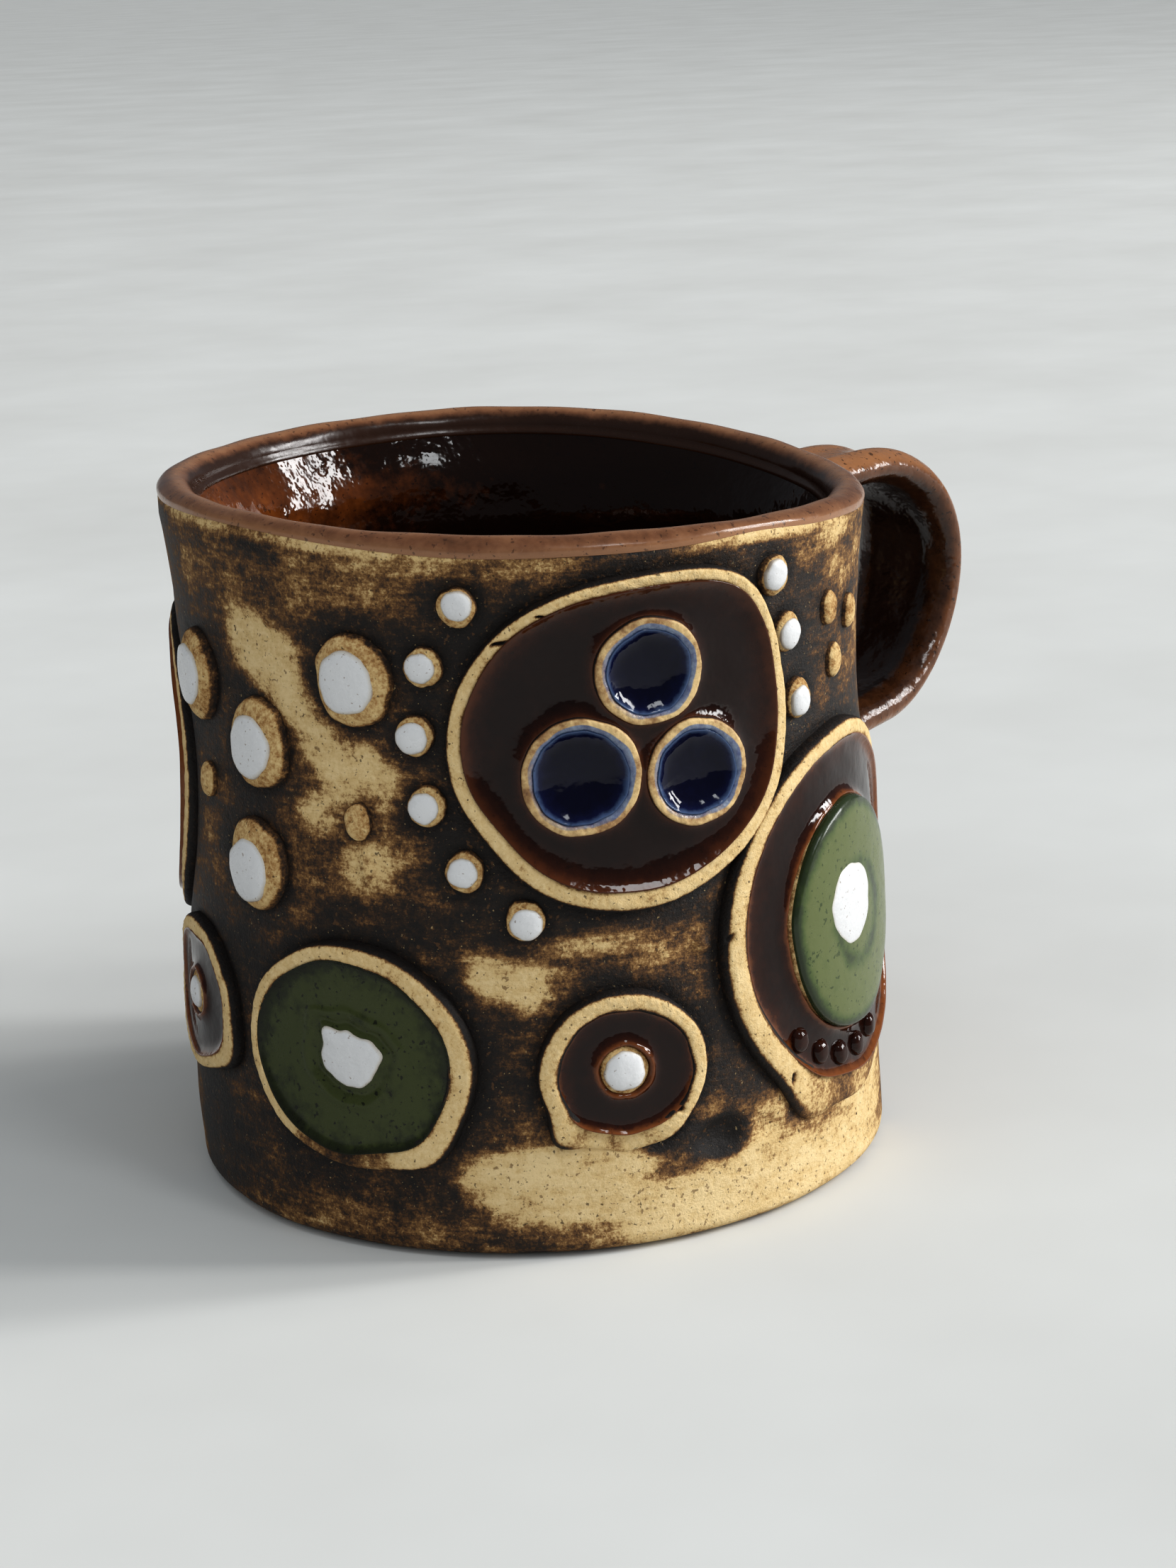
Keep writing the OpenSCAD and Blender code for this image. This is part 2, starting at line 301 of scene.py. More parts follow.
class Paint:
    """Builds one material's node tree."""

    def __init__(self, name, **settings):
        self.material = bpy.data.materials.new(name)
        self.material.use_nodes = True
        self.nodes = self.material.node_tree.nodes
        self.links = self.material.node_tree.links
        self.shader = self.nodes["Principled BSDF"]
        for socket, value in settings.items():
            self.shader.inputs[socket.replace("_", " ")].default_value = value
        self.where = self.nodes.new("ShaderNodeTexCoord").outputs["Object"]

    def put(self, node, socket, value):
        if isinstance(value, bpy.types.NodeSocket):
            self.links.new(value, node.inputs[socket])
        else:
            node.inputs[socket].default_value = value

    def value(self, name):
        """A value stored on the mesh's points."""
        node = self.nodes.new("ShaderNodeAttribute")
        node.attribute_name = name
        return node.outputs["Fac"]

    def stretched(self, x, y, z):
        node = self.nodes.new("ShaderNodeMapping")
        self.links.new(self.where, node.inputs["Vector"])
        node.inputs["Scale"].default_value = (x, y, z)
        return node.outputs["Vector"]

    def noise(self, scale, detail=4.0, rough=0.55, where=None):
        node = self.nodes.new("ShaderNodeTexNoise")
        self.links.new(where or self.where, node.inputs["Vector"])
        node.inputs["Scale"].default_value = scale
        node.inputs["Detail"].default_value = detail
        node.inputs["Roughness"].default_value = rough
        return node.outputs["Fac"]

    def math(self, kind, a, b=0.0):
        node = self.nodes.new("ShaderNodeMath")
        node.operation = kind
        for socket, value in enumerate((a, b)):
            self.put(node, socket, value)
        return node.outputs[0]

    def vary(self, value, *noises):
        """Adds noises, each with its own amount, to a value."""
        for noise, amount in noises:
            swing = self.math("SUBTRACT", noise, 0.5)
            value = self.math("ADD", value, self.math("MULTIPLY", swing, amount))
        return value

    def fit(self, value, low, high, to_low=0.0, to_high=1.0):
        node = self.nodes.new("ShaderNodeMapRange")
        node.interpolation_type = "SMOOTHSTEP"
        for socket, number in enumerate((value, low, high, to_low, to_high)):
            self.put(node, socket, number)
        return node.outputs["Result"]

    def ramp(self, value, *stops):
        node = self.nodes.new("ShaderNodeValToRGB")
        self.links.new(value, node.inputs["Fac"])
        elements = node.color_ramp.elements
        while len(elements) < len(stops):
            elements.new(0.5)
        for element, (place, colour) in zip(elements, stops):
            element.position = place
            element.color = colour
        return node.outputs["Color"]

    def mix(self, share, a, b):
        node = self.nodes.new("ShaderNodeMix")
        node.data_type = "RGBA"
        self.put(node, 0, share)
        self.put(node, 6, a)
        self.put(node, 7, b)
        return node.outputs[2]

    def speckle(self, colour, scale, rare, amount, speck_colour):
        """Scatters small spots of another colour."""
        spots = self.fit(self.noise(scale, 2, 0.5), rare, rare + 0.05, 0, amount)
        return self.mix(spots, colour, speck_colour)

    def bump(self, height, distance, strength=1.0, under=None):
        node = self.nodes.new("ShaderNodeBump")
        node.inputs["Distance"].default_value = distance
        node.inputs["Strength"].default_value = strength
        self.links.new(height, node.inputs["Height"])
        if under:
            self.links.new(under, node.inputs["Normal"])
        return node.outputs["Normal"]

    def finish(self, colour, roughness=None, normal=None):
        self.links.new(colour, self.shader.inputs["Base Color"])
        if roughness is not None:
            self.links.new(roughness, self.shader.inputs["Roughness"])
        if normal is not None:
            self.links.new(normal, self.shader.inputs["Normal"])
        return self.material


BLACK_WASH = srgb(30, 26, 24)
DARK_WASH = srgb(50, 37, 27)
BROWN_WASH = srgb(92, 64, 38)
RUST_WASH = srgb(138, 104, 64)
TAN_CLAY = srgb(200, 172, 122)
PALE_CLAY = srgb(216, 192, 146)
WASH_STOPS = ((0.08, BLACK_WASH), (0.25, DARK_WASH), (0.38, BROWN_WASH), (0.51, RUST_WASH),
              (0.68, TAN_CLAY), (0.95, PALE_CLAY))


def washed_clay():
    """Matte clay with a dark wash rubbed off its high places."""
    paint = Paint("washed_clay", Specular_IOR_Level=0.3)
    cloud = paint.noise(150, 5, 0.62)
    streak = paint.noise(330, 5, 0.7, paint.stretched(0.5, 0.5, 1.8))
    grain = paint.noise(1100, 5, 0.75)
    fine = paint.noise(3200, 2, 0.6)
    brushed = paint.noise(620, 4, 0.75, paint.stretched(0.25, 0.25, 2.6))
    mask = paint.vary(paint.value("wiped"), (cloud, 1.0), (streak, 0.6), (brushed, 0.35),
                      (grain, 0.85), (fine, 0.35))
    colour = paint.ramp(mask, *WASH_STOPS)
    colour = paint.speckle(colour, 1500, 0.64, 0.65, BROWN_WASH)
    colour = paint.speckle(colour, 1900, 0.66, 0.75, DARK_WASH)
    colour = paint.speckle(colour, 2600, 0.70, 0.5, TAN_CLAY)
    rough = paint.fit(mask, 0.15, 0.65, 0.55, 0.88)
    normal = paint.bump(grain, 0.00035, 0.7)
    normal = paint.bump(fine, 0.00012, 0.6, normal)
    normal = paint.bump(streak, 0.0004, 0.5, normal)
    return paint.finish(colour, rough, normal)


def relief_clay(name, stops=WASH_STOPS):
    """Tan clay of the raised shapes, dark at the foot."""
    paint = Paint(name, Specular_IOR_Level=0.3)
    cloud = paint.noise(300, 4, 0.6)
    grain = paint.noise(1300, 4, 0.7)
    fine = paint.noise(3200, 2, 0.6)
    mask = paint.vary(paint.value("worn"), (cloud, 0.55), (grain, 0.7), (fine, 0.4))
    colour = paint.ramp(mask, *stops)
    colour = paint.speckle(colour, 1900, 0.67, 0.75, DARK_WASH)
    normal = paint.bump(grain, 0.0003, 0.7)
    normal = paint.bump(fine, 0.00012, 0.6, normal)
    return paint.finish(colour, paint.fit(mask, 0.15, 0.65, 0.6, 0.88), normal)


def berry_clay():
    """Stained clay of the small rings, slate blue where the cobalt runs over it."""
    paint = Paint("berry_clay", Specular_IOR_Level=0.5)
    cloud = paint.noise(260, 4, 0.6)
    grain = paint.noise(1300, 4, 0.7)
    mask = paint.vary(paint.value("worn"), (cloud, 0.9), (grain, 0.5))
    colour = paint.ramp(mask, (0.15, BLACK_WASH), (0.35, DARK_WASH), (0.52, srgb(104, 70, 42)),
                        (0.66, srgb(150, 116, 74)), (0.85, TAN_CLAY))
    blue = paint.vary(paint.value("glazed"), (paint.noise(600, 4, 0.6), 0.5))
    streaks = paint.ramp(paint.noise(900, 4, 0.6), (0.3, srgb(46, 64, 108)), (0.7, srgb(120, 136, 156)))
    colour = paint.mix(paint.fit(blue, 0.3, 0.75, 0, 0.92), colour, streaks)
    rough = paint.fit(blue, 0.3, 0.6, 0.6, 0.18)
    normal = paint.bump(grain, 0.0002, 0.5)
    return paint.finish(colour, rough, normal)


def glaze(name, deep, middle, edge, speck_colour, roughness, speck, ripple_height=0.00025,
          shine=0.5, cloudy=0.5):
    """Glossy glaze: deep where thick, paler where it runs thin, with fine specks. On the liner and the
    handle, paler and deeper also stand for painted light and painted shade.
    """
    paint = Paint(name, IOR=1.5, Specular_IOR_Level=shine)
    cloud = paint.noise(240, 4, 0.6)
    mask = paint.vary(paint.value("thin"), (cloud, cloudy), (paint.noise(900, 3, 0.6), 0.6 * cloudy))
    colour = paint.ramp(paint.fit(mask, -0.2, 1.0), (0.12, srgb(*deep)),
                        (0.50, srgb(*middle)), (0.90, srgb(*edge)))
    colour = paint.speckle(colour, 1500, 0.63, speck, srgb(*speck_colour))
    rough = paint.fit(paint.noise(700, 3, 0.6), 0.3, 0.8, roughness, roughness + 0.10)
    normal = paint.bump(paint.noise(260, 3, 0.5), ripple_height, 0.5)
    return paint.finish(colour, rough, normal)


def white_glaze():
    """Satin white with pits, brownish where it thins out."""
    paint = Paint("white_glaze", Specular_IOR_Level=0.5)
    mask = paint.vary(paint.value("thin"), (paint.noise(500, 4, 0.6), 0.5))
    colour = paint.ramp(mask, (0.2, srgb(206, 206, 206)), (0.7, srgb(190, 184, 174)),
                        (0.98, srgb(132, 102, 72)))
    colour = paint.speckle(colour, 2300, 0.68, 0.7, srgb(112, 88, 66))
    rough = paint.fit(paint.noise(700, 3, 0.6), 0.3, 0.8, 0.22, 0.45)
    normal = paint.bump(paint.noise(900, 3, 0.5), 0.00025, 0.4)
    return paint.finish(colour, rough, normal)


CLAY = washed_clay()
RELIEF = relief_clay("relief_clay")
BERRY_CLAY = berry_clay()
PELLET_CLAY = relief_clay("pellet_clay", ((0.15, BLACK_WASH), (0.32, DARK_WASH), (0.46, BROWN_WASH),
                                          (0.60, srgb(156, 118, 72)), (0.80, TAN_CLAY), (1.0, PALE_CLAY)))
# On the liner, the pale stops also show painted light on the lit side, and the deep stop painted shade.
LINER = glaze("liner_glaze", (22, 9, 4), (88, 46, 18), (136, 78, 32), (14, 6, 4),
              roughness=0.05, speck=0.6, ripple_height=0.0006, shine=0.35)
RIM_GLAZE = glaze("rim_glaze", (44, 24, 12), (106, 70, 47), (140, 100, 70), (48, 29, 20),
                  roughness=0.20, speck=0.6)
# On the handle, the deep stop also shows painted shade on the inner side, and the pale stops painted light
# on the outer side.
HANDLE_GLAZE = glaze("handle_glaze", (28, 14, 8), (96, 60, 36), (140, 96, 62), (36, 20, 11),
                     roughness=0.17, speck=0.8, ripple_height=0.0011, cloudy=0.3)
FIELD_GLAZE = glaze("field_glaze", (24, 11, 8), (42, 20, 12), (72, 38, 20), (14, 8, 6),
                    roughness=0.04, speck=0.3, ripple_height=0.0004, shine=0.3)
RED_BROWN = glaze("red_brown_glaze", (26, 11, 7), (48, 22, 12), (112, 64, 32), (20, 10, 7),
                  roughness=0.04, speck=0.4, ripple_height=0.0003, shine=0.35)
COBALT = glaze("cobalt_glaze", (6, 6, 26), (12, 16, 46), (66, 82, 112), (4, 4, 12),
               roughness=0.03, speck=0.3, ripple_height=0.0003, shine=0.3)
DARK_GREEN = glaze("dark_green_glaze", (56, 62, 30), (34, 39, 18), (26, 28, 15),
                   (16, 18, 8), roughness=0.26, speck=0.9, ripple_height=0.0003, shine=0.3, cloudy=1.3)
PALE_GREEN = glaze("pale_green_glaze", (90, 98, 58), (70, 84, 44), (42, 52, 30),
                   (44, 58, 28), roughness=0.2, speck=0.85, cloudy=0.9)
WHITE = white_glaze()


# ---- the relief's places

def bell(angle, where, width):
    """1 at an angle in degrees, falling away on both sides of it."""
    swing = np.degrees(np.angle(np.exp(1j * (angle - math.radians(where)))))
    return np.exp(-(swing / width) ** 2)


class Medallion:
    """A clay ring on the wall with an outline of its own.

    Bulges are (degrees round, width in degrees, mm outwards); tails are bulges of the clay alone.
    The band is its width in mm, how much wider it gets on one side, and the degrees to that side.
    Faded is a list of places, (degrees round, width in degrees, share), where the ring sinks into
    the wall; bare_tone is how bare of wash its clay is there.
    """

    def __init__(self, name, seed, band, bulges=(), tails=(), faded=(), bare_tone=0.66, height=1.5):
        self.spot = patch(name + "_ring")
        self.seed = seed
        self.band_width = band
        self.bulges = bulges
        self.tails = tails
        self.faded = faded
        self.bare_tone = bare_tone
        self.height = height
        self.rough = 0.10

    def edge(self, angle):
        """Distance from the middle to the ring's outer edge."""
        w, h = self.spot.half_w, self.spot.half_h
        reach = w * h / np.hypot(h * np.cos(angle), w * np.sin(angle))
        reach = reach + ripple(angle, self.seed, self.rough)
        for where, width, amount in (*self.bulges, *self.tails):
            reach = reach + amount * bell(angle, where, width)
        return reach

    def band(self, angle):
        """Width of the clay ring."""
        width, more, where = self.band_width
        width = width + more * np.cos(angle - math.radians(where)) + ripple(angle, 50 + self.seed, 0.14)
        for where, spread, amount in self.tails:
            width = width + amount * bell(angle, where, spread)
        return width

    def clearance(self, turn, z):
        """Distance outside the ring's outer edge."""
        reach, angle = self.spot.polar(turn, z)
        return reach - self.edge(angle)


class Round(Medallion):
    """An uneven oval with no clay band of its own."""

    def __init__(self, spot, grow=0.0, seed=44, rough=0.06, bulges=()):
        self.spot = spot
        self.grow = grow
        self.seed = seed
        self.rough = rough
        self.bulges = bulges
        self.tails = ()

    def edge(self, angle):
        return super().edge(angle) + self.grow


MEDALLIONS = {
    "berry": Medallion("berry", 1, (2.6, 0.65, -80), ((52, 24, 2.5), (-50, 30, -0.7), (-148, 18, -0.7))),
    "kiwi": Medallion("kiwi", 2, (3.5, 0.9, -95), tails=((-117, 11, 2.4), (-80, 22, 0.6)),
                      faded=((-75, 46, 0.85), (10, 42, 0.5)), bare_tone=0.5),
    "shield": Medallion("shield", 3, (2.85, 0.7, 0), ((-50, 18, 0.6),), ((-50, 18, 0.9),),
                        faded=((-98, 30, 0.75),), bare_tone=0.40),
    "eye": Medallion("eye", 4, (2.5, 0.3, 150), tails=((-133, 13, 2.0), (-55, 16, 0.8), (-90, 30, 0.5)),
                     faded=((-95, 34, 0.85),)),
    "bead": Medallion("bead", 5, (2.3, 0.3, 60), tails=((-30, 20, 1.6),), height=1.2),
    "moon": Medallion("moon", 6, (2.6, 0.3, -60), height=0.9),
    "back": Medallion("back", 7, (2.5, 0.4, -40), ((40, 20, 0.8),)),
}
BERRIES = {
    "top": Medallion("berry_top", 10, (1.85, 0.15, 60), height=2.0),
    "left": Medallion("berry_left", 11, (1.85, 0.2, 30), height=2.0),
    "right": Medallion("berry_right", 12, (1.8, 0.2, 40), height=2.0),
}
PELLETS = {name: islands(name + "_pellets") for name in ("arc", "row", "button", "bare")}


def relief_clearance(turn, z):
    """Distance from the nearest ring or pellet, in mm."""
    nearest = 99 + 0 * turn * z
    for medallion in MEDALLIONS.values():
        nearest = np.minimum(nearest, medallion.clearance(turn, z))
    for name, group in PELLETS.items():
        blended = 1.2 if name == "bare" else 0
        for spot in group:
            reach, _ = spot.polar(turn, z)
            nearest = np.minimum(nearest, reach - spot.half_w + blended)
    return nearest


# Rubbed places: degrees round from the handle, height, half width, half height, tilt in degrees, strength.
RUBBED = (
    (178, 71.5, 7.5, 4.6, -20, 0.75), (-177, 66.5, 5, 3, -30, 0.5), (-167.5, 60.5, 8, 3.8, -28, 0.8),
    (-160, 56.5, 5, 3.5, 0, 0.45), (-169, 53.5, 5, 3, 0, 0.55), (-163.5, 47, 4.5, 3.2, 0, 0.40),
    (-158, 50.5, 5, 2.4, 0, 0.25), (-141, 34.5, 4.6, 2.9, 0, 0.75), (-145, 36.6, 3, 1.6, 0, 0.3),
    (-137, 31.6, 2.4, 1.8, 0, 0.4), (-128, 38.2, 8, 1.3, 0, 0.35), (-119, 35, 5, 2, 0, 0.12),
    (-137, 9.2, 8, 4.8, 0, 0.8), (-145, 10, 4, 3.5, 0, 0.35), (-128, 10.5, 7, 4, 0, 0.6),
    (-131, 13, 3, 2.5, 0, 0.4), (-120, 5, 9, 3, 0, 0.5), (-107, 6, 11, 4, 0, 0.5),
    (-98, 12, 5.5, 4, 30, 0.45), (-111, 18.5, 2.2, 4.5, 10, 0.35), (-83, 7, 11, 6, 0, 0.48),
    (-64, 9, 9, 6, 0, 0.34), (-78, 1.5, 20, 2.2, 0, 0.3), (-112, 1.5, 14, 2, 0, 0.3),
    (-70, 14, 8, 6, 0, 0.34), (-92, 20, 2.6, 5, 20, 0.25), (-126, 82, 20, 1.7, 0, 0.20),
    (-146, 83, 12, 1.6, 0, 0.14), (-100, 80, 12, 1.6, 4, 0.16), (-180, 81, 16, 4, 0, 0.13),
    (-158, 78.7, 8, 2.5, 0, 0.14), (-141, 76.5, 8, 2.5, 0, 0.10), (-74, 71, 4.5, 8, 0, 0.15),
    (-66, 74, 4, 8, 0, 0.15), (-84, 79.5, 5, 1.5, 0, 0.22), (-75, 81, 6, 1.5, 0, 0.22),
    (-177, 40, 5, 8, 0, 0.14), (-217, 55, 3.5, 6, 0, 0.25), (-198, 51, 3, 5, 0, 0.18),
    (-113, 36.5, 5, 2.2, 0, 0.12), (-151, 33, 5, 6, 0, 0.12), (-103, 38, 3, 4, 0, 0.14),
    (-196, 22, 3, 8, 0, 0.14), (-150, 14, 3, 5, 0, 0.14), (-165, 5, 14, 2.2, 0, 0.10),
    (-110, 45, 6, 3, 0, 0.08), (-187, 47, 3, 5, 0, 0.12), (42, 63, 10, 5, 20, 0.6),
    (30, 18, 9, 6, -20, 0.6), (84, 76, 10, 3, -15, 0.5), (88, 12, 11, 5, 5, 0.6),
    (100, 30, 6, 5, 30, 0.4), (-38, 20, 8, 6, 10, 0.5), (-30, 72, 6, 5, 0, 0.35),
    (2, 17, 11, 5, 0, 0.5), (50, 46, 5, 3, 0, 0.4), (126, 10, 9, 4, 0, 0.4), (12, 78, 8, 3, 0, 0.3),
    (72, 52, 6, 4, 40, 0.3),
)
# Places where the wash stayed thick, in the same terms.
THICK = (
    (-203, 10, 8, 8, 0, 0.25), (-167, 41, 6, 3, 0, 0.15), (-152, 41, 4, 3, 0, 0.15),
    (-108.5, 12.3, 4, 2.5, 0, 0.85), (-118, 14.5, 3.5, 2.2, 30, 0.7), (-162, 8, 12, 3, 0, 0.15),
    (-92, 57, 3, 4, 0, 0.2), (-150.5, 67, 4, 12, 0, 0.25), (-138, 50, 6, 7, 0, 0.15),
    (-194, 36, 6, 5, 0, 0.15), (-105, 29, 4, 8, 0, 0.15), (-187, 58, 5, 5, 0, 0.2),
    (-172, 30, 5, 6, 0, 0.15),
)
# Where a ring blends into rubbed clay, with no dark line round it.
BARE_JOINTS = (
    (-130, 11, 11, 5, 0, 1.0), (-70, 12, 16, 8, 0, 1.0), (-157, 10, 6, 4.5, 0, 0.7),
    (-98, 14, 3, 3, 0, 0.5), (-178, 66, 4, 8, 0, 0.4), (-112, 13, 4, 3, 0, 0.5),
    (-171, 10, 5, 3, 0, 0.5),
)


def spots_sum(turn, z, table):
    """Adds up soft spots on the wall."""
    total = 0 * turn * z
    for place, height, half_w, half_h, tilt, strength in table:
        swing = np.angle(np.exp(1j * (turn - math.radians(place)))) * OUTER_RADIUS
        rise = z - height
        c, s = math.cos(math.radians(tilt)), math.sin(math.radians(tilt))
        across = (swing * c + rise * s) / half_w
        along = (rise * c - swing * s) / half_h
        total = total + strength * np.exp(-(across ** 2 + along ** 2) ** 1.8)
    return total


def blended_joint(turn, z):
    """1 where a ring blends into the wall, 0 where it stands off it."""
    return np.minimum(spots_sum(turn, z, BARE_JOINTS), 1)


def lip_centre_z(turn):
    """Height of the middle of the lip's round section, which follows the rim's wave."""
    return RIM_HEIGHT - LIP + 0.3 + rim_wave(turn)


def bare_lip(turn):
    """Where the clay shows as a pale line under the lip's glaze: front left, and a streak at the right."""
    return np.minimum(bell(turn, -97, 12) + 0.8 * bell(turn, 176, 32), 1)


def glaze_bend(turn):
    """Where the lip's glaze ends outside, in degrees up from the lip's widest point."""
    return 9 + 20 * bare_lip(turn) + 4 * ripple(turn, 31, 1.0)


def wiped_mask(turn, z):
    """How much of the dark wash is rubbed away, before the fine texture."""
    mask = 0.31 + 0.07 * lumps(turn, z * 1.3) + spots_sum(turn, z, RUBBED)
    mask = np.minimum(mask, 0.85) - spots_sum(turn, z, THICK)
    clear = np.maximum(relief_clearance(turn, z), 0)
    halo = np.exp(-(clear / 2.3) ** 1.3) * (1 - blended_joint(turn, z))
    mask = mask * (1 - 0.9 * halo)
    under_lip = np.exp(-((z - lip_centre_z(turn) - 0.2) / 0.5) ** 2)
    return mask + under_lip * (0.08 + 0.30 * bare_lip(turn) + 0.10 * np.cos(5 * turn + 1))


# ---- body pieces

COLUMNS = 512
TURNS = np.linspace(-np.pi, np.pi, COLUMNS, endpoint=False)
# Finger marks and crumbs on the wall: degrees, height, half width, half height, tilt, mm inwards.
MARKS = (
    (-108.5, 12.3, 3.4, 2.0, 10, 1.2), (-118, 14.5, 2.8, 1.4, 30, 0.8), (-100, 12, 2.4, 1.4, -20, 0.35),
    (-110.5, 36.5, 0.9, 0.9, 0, -0.7), (-163, 47.3, 0.9, 1.8, 10, -0.55),
    (-104, 12.6, 1.6, 1.0, 0, -0.3), (-84, 14, 2.5, 1.5, 0, 0.3), (60, 12, 3, 2, 0, 0.6),
    (-160, 9, 5, 2, 10, 0.3),
)


def make_wall():
    """The clay wall: outside from foot to lip, over the lip, and down inside behind the liner."""
    rows_outside, rows_lip, rows_inside = 138, 12, 14
    top = lip_centre_z(TURNS)
    z = np.linspace(0, 1, rows_outside)[:, None] * top
    turn = np.broadcast_to(TURNS, z.shape)
    foot = np.where(z < FOOT, FOOT - np.sqrt(np.maximum(FOOT ** 2 - (FOOT - z) ** 2, 0)), 0)
    near = np.maximum(relief_clearance(turn, z), 0)
    groove = 0.3 * np.exp(-(near / 0.8) ** 2) * (1 - blended_joint(turn, z))
    outside = at(turn, z, -foot - spots_sum(turn, z, MARKS) - groove)
    bend = np.linspace(0, np.pi, rows_lip + 2)[1:-1, None]
    lip_radius = wall_radius(TURNS, top) - LIP
    lip = around_axis(lip_radius + LIP * np.cos(bend), TURNS, top + LIP * np.sin(bend))
    z_inside = np.linspace(1, 0, rows_inside)[:, None] * top
    radius = np.where(z_inside < BASE_TOP, INNER_RADIUS, wall_radius(TURNS, z_inside) - WALL)
    points = np.concatenate([outside, lip, around_axis(radius, TURNS, z_inside)])
    wiped = np.full(points.shape[:2], 0.45)
    wiped[:rows_outside] = wiped_mask(turn, z)
    outer_lip = slice(rows_outside, rows_outside + rows_lip // 2)
    wiped[outer_lip] = 0.40 + 0.36 * bare_lip(TURNS) + 0.06 * np.cos(5 * TURNS + 1)
    shape = Shape()
    shape.add(points, grid_faces(len(points), COLUMNS, True, True), wiped=wiped.ravel())
    return shape.make("wall", CLAY, ["wall_slab"])


def make_base():
    """The base slab, with a shallow hollow and faint rings underneath."""
    columns = 180
    radii = np.concatenate([np.linspace(0.5, INNER_RADIUS - 0.8, 60), [INNER_RADIUS]])
    turns = np.linspace(0, 2 * np.pi, columns, endpoint=False)
    radius, turn = np.meshgrid(radii, turns, indexing="ij")
    hollow = 0.5 * smooth(INNER_RADIUS - 1, INNER_RADIUS - 6, radius)
    hollow = hollow * (0.8 + 0.2 * np.sin(radius * 1.9 + 0.8 * np.sin(3 * turn) + turn))
    under = around_axis(radius, turn, hollow)
    over = around_axis(radius, turn, BASE_TOP)[::-1]
    wiped = np.concatenate([0.62 + 0.1 * lumps(turn, radius), 0.5 + 0 * radius])
    points = np.concatenate([under, over])
    shape = Shape()
    shape.add(points, grid_faces(len(points), columns, False, True), wiped=wiped.ravel())
    shape.close_ends(columns)
    return shape.make("base", CLAY, ["base_slab"])


def turned(rows, turns):
    """Points of a turned skin from (radius, height) rows."""
    return np.stack([around_axis(radius, turns, z) for radius, z in rows])


def lip_flare(below):
    """How far the inside of the wall comes in under the lip, by the distance below it."""
    share = np.clip(below / 10, 0, 1)
    return 2.6 * share * (2 - share)


def glazed_inside(turns, z):
    """Radius of the glaze's inner surface."""
    return wall_radius(turns, z) - WALL - GLAZE - lip_flare(lip_centre_z(turns) - z)


def make_liner():
    """The poured glaze inside: a thin bowl with a rounded corner."""
    columns = 300
    corner = 6.0
    turns = np.linspace(-np.pi, np.pi, columns, endpoint=False)
    top = lip_centre_z(turns)
    floor_z = BASE_TOP + GLAZE
    rows = []
    for share in np.linspace(0.02, 1, 26):
        radius = share * (INNER_RADIUS - corner - GLAZE)
        rows.append((radius, floor_z + 0.25 * np.sin(radius * 0.7)))
    side = glazed_inside(turns, BASE_TOP + corner)
    for bend in np.radians(np.linspace(-90, 0, 12)[1:]):
        rows.append((side - corner + corner * np.cos(bend), floor_z + corner * (1 + np.sin(bend))))
    for share in np.linspace(0, 1, 90)[1:]:
        z = floor_z + corner + share * (top - floor_z - corner)
        ridge = 0.10 * np.sin(z * 0.9 + 2 * np.sin(turns)) + 0.25 * lumps(turns + 1, z)
        rows.append((glazed_inside(turns, z) + ridge * smooth(0, 6, top - z), z))
    back = []
    for radius, z in rows[::-1]:
        back.append((np.minimum(radius + GLAZE * 1.6, INNER_RADIUS + 1.5), np.maximum(z - 0.3, BASE_TOP)))
    points = turned(rows + back, turns)
    height = points[..., 2]
    # Painted light and shade: the glaze is drawn paler high up on the lit side of the inner wall, and deep
    # lower down and on the shaded side, with a faint banding by height.
    lit_side = 0.5 + 0.5 * np.cos(turns - 2.7)
    thin = -0.20 + 0.70 * smooth(34, 84, height) * lit_side ** 1.3 + 0.08 * np.sin(height * 0.5)
    shape = Shape()
    shape.add(points, grid_faces(len(points), columns, False, True), thin=thin.ravel())
    shape.close_ends(columns)
    return shape.make("liner", LINER, ["liner_glaze"])


def make_rim():
    """Glaze over the lip, ending outside in an uneven line just below the top."""
    top = lip_centre_z(TURNS)
    start = glaze_bend(TURNS)
    lip_radius = wall_radius(TURNS, top) - LIP

    def skin(share, height):
        bend = np.radians(start + share * (180 - start))
        return lip_radius + (LIP + height) * np.cos(bend), top + (LIP + height) * np.sin(bend)

    rows, thin_rows = [], []
    for share in np.linspace(0, 1, 34) ** 1.4:
        bend = start + share * (180 - start)
        uneven = 0.05 * np.sin(11 * TURNS + 0.05 * bend) + 0.04 * np.sin(23 * TURNS)
        uneven = uneven * smooth(0, 0.3, share) * smooth(1, 0.75, share)
        rows.append(skin(share, GLAZE * smooth(-0.03, 0.14, share) + uneven))
        crown = 0.35 * np.exp(-((bend - 100) / 25) ** 2) - 0.42 * smooth(115, 165, bend)
        thin_rows.append(0.85 * np.exp(-share / 0.10) + 0.32 + crown)
    # The inner edge stands just proud of the liner, then dives behind it.
    for below, sink in ((0.4, -0.08), (0.9, -0.10), (1.3, 0.45), (2.0, 1.4)):
        rows.append((glazed_inside(TURNS, top - below) + sink, top - below))
        thin_rows.append(-0.10 + 0 * TURNS)
    hidden = [(wall_radius(TURNS, top - below) - WALL + 1.2, top - below) for below in (2.0, 1.2, 0.5)]
    hidden += [skin(share, -SUNK) for share in np.linspace(1, 0, 12)]
    thin = np.concatenate([np.stack(thin_rows), np.full((len(hidden), COLUMNS), 0.5)])
    points = turned(rows + hidden, TURNS)
    shape = Shape()
    shape.add(points, grid_faces(len(points), COLUMNS, True, True), thin=thin.ravel())
    return shape.make("rim", RIM_GLAZE, ["rim_glaze"])


# Radius of the strap's bend, and half the thickness of its edges
LOOP_R = 17.3
EDGE_T = 2.75


